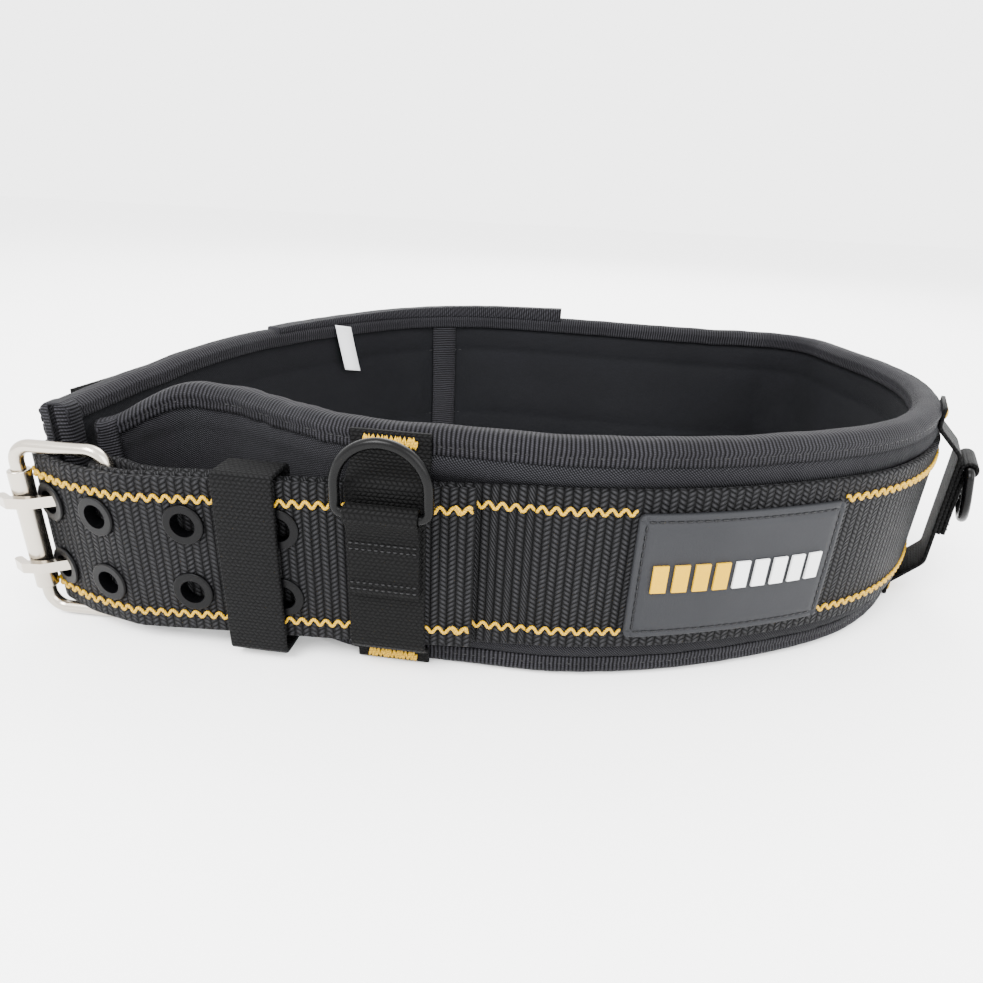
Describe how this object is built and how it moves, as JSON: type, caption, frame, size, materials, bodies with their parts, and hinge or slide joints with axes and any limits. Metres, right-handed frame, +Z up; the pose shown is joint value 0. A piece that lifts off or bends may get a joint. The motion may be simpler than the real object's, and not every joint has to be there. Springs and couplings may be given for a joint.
{
  "type": "padded tool belt",
  "caption": "Padded webbing tool belt closed into a ring by a roller buckle with a pair of prongs, with hanging D-rings, a keeper loop and a rubber patch.",
  "frame": {"origin": "middle of the whole object's plan box, on the surface the belt's lower edge stands on", "axes": "+Z up; +X along the belt's buckled front, from the buckle to the patch's side; +Y from the buckled front to the back"},
  "size_m": [0.3208, 0.243, 0.08],
  "materials": {
    "pad_cloth": "coarse twill, matte",
    "foam": "closed-cell foam",
    "liner_cloth": "fine mesh, matte",
    "binding_tape": "cross-ribbed tape, matte",
    "webbing": "woven webbing, low sheen",
    "keeper_webbing": "woven webbing, low sheen",
    "strap_webbing": "woven webbing, low sheen",
    "gold_thread": "thick bright thread",
    "eyelet_metal": "black oxide, satin",
    "ring_metal": "black, glossy",
    "nickel": "warm nickel plate",
    "patch_rubber": "moulded, matte",
    "emblem_yellow": "moulded, matte",
    "emblem_white": "moulded, matte",
    "label_cloth": "smooth satin ribbon"
  },
  "bodies": {
    "belt": {"outer_cover": "pad_cloth", "foam_core": "foam", "inner_liner": "liner_cloth", "top_binding": "binding_tape", "bottom_binding": "binding_tape", "end_binding_near": "binding_tape", "end_binding_far": "binding_tape", "binding_lap": "binding_tape", "liner_strip_near": "binding_tape", "liner_strip_far": "binding_tape", "belt_webbing": "webbing", "eyelet_tongue": "webbing", "eyelets": "eyelet_metal", "eyelet_washers": "eyelet_metal", "wave_stitching_belt": "gold_thread", "wave_stitching_tongue": "gold_thread", "dring_strap_front_near": "strap_webbing", "dring_loop_front_near": "strap_webbing", "dring_strap_back_near": "strap_webbing", "dring_loop_back_near": "strap_webbing", "dring_strap_back_far": "strap_webbing", "dring_loop_back_far": "strap_webbing", "dring_strap_front_far": "strap_webbing", "dring_loop_front_far": "strap_webbing", "bar_tacks": "gold_thread", "rubber_patch": "patch_rubber", "emblem_bars_yellow": "emblem_yellow", "emblem_bars_white": "emblem_white", "care_label": "label_cloth"},
    "keeper": {"keeper_loop": "keeper_webbing"},
    "buckle_frame": {"buckle_frame": "nickel"},
    "buckle_roller": {"buckle_roller": "nickel"},
    "prong_lower": {"prong_lower": "nickel"},
    "prong_upper": {"prong_upper": "nickel"},
    "dring_front_near": {"dring_front_near": "ring_metal"},
    "dring_back_near": {"dring_back_near": "ring_metal"},
    "dring_back_far": {"dring_back_far": "ring_metal"},
    "dring_front_far": {"dring_front_far": "ring_metal"}
  },
  "joints": [
    {"name": "buckle_tilt", "type": "hinge", "parent": "belt", "child": "buckle_frame", "pos_m": [-0.12304, -0.1037, 0.0295], "axis": [0, 0, 1], "range_deg": [0, 2]},
    {"name": "roller_spin", "type": "hinge", "parent": "buckle_frame", "child": "buckle_roller", "pos_m": [-0.15157, -0.10431, 0.0295], "axis": [0, 0, 1], "continuous": true},
    {"name": "prong_lower_swing", "type": "hinge", "parent": "buckle_frame", "child": "prong_lower", "pos_m": [-0.12304, -0.1037, 0.0195], "axis": [0, 0, 1], "range_deg": [0, 1.5]},
    {"name": "prong_upper_swing", "type": "hinge", "parent": "buckle_frame", "child": "prong_upper", "pos_m": [-0.12304, -0.1037, 0.0415], "axis": [0, 0, 1], "range_deg": [0, 1.5]},
    {"name": "keeper_slide", "type": "slide", "parent": "belt", "child": "keeper", "axis": [0.9982, 0, 0.0595], "range_m": [-0.01, 0.006]},
    {"name": "dring_front_near_swing", "type": "hinge", "parent": "belt", "child": "dring_front_near", "pos_m": [-0.03608, -0.11846, 0.054], "axis": [1, 0, 0], "range_deg": [0, 165]},
    {"name": "dring_back_near_swing", "type": "hinge", "parent": "belt", "child": "dring_back_near", "pos_m": [0.15228, -0.03124, 0.054], "axis": [0.4003, 0.9164, 0], "range_deg": [-165, 0]},
    {"name": "dring_back_far_swing", "type": "hinge", "parent": "belt", "child": "dring_back_far", "pos_m": [0.13191, 0.1126, 0.054], "axis": [-0.8809, 0.4734, 0], "range_deg": [-165, 0]},
    {"name": "dring_front_far_swing", "type": "hinge", "parent": "belt", "child": "dring_front_far", "pos_m": [-0.15515, -0.06896, 0.054], "axis": [-0.0863, -0.9963, 0], "range_deg": [-165, 0]}
  ]
}
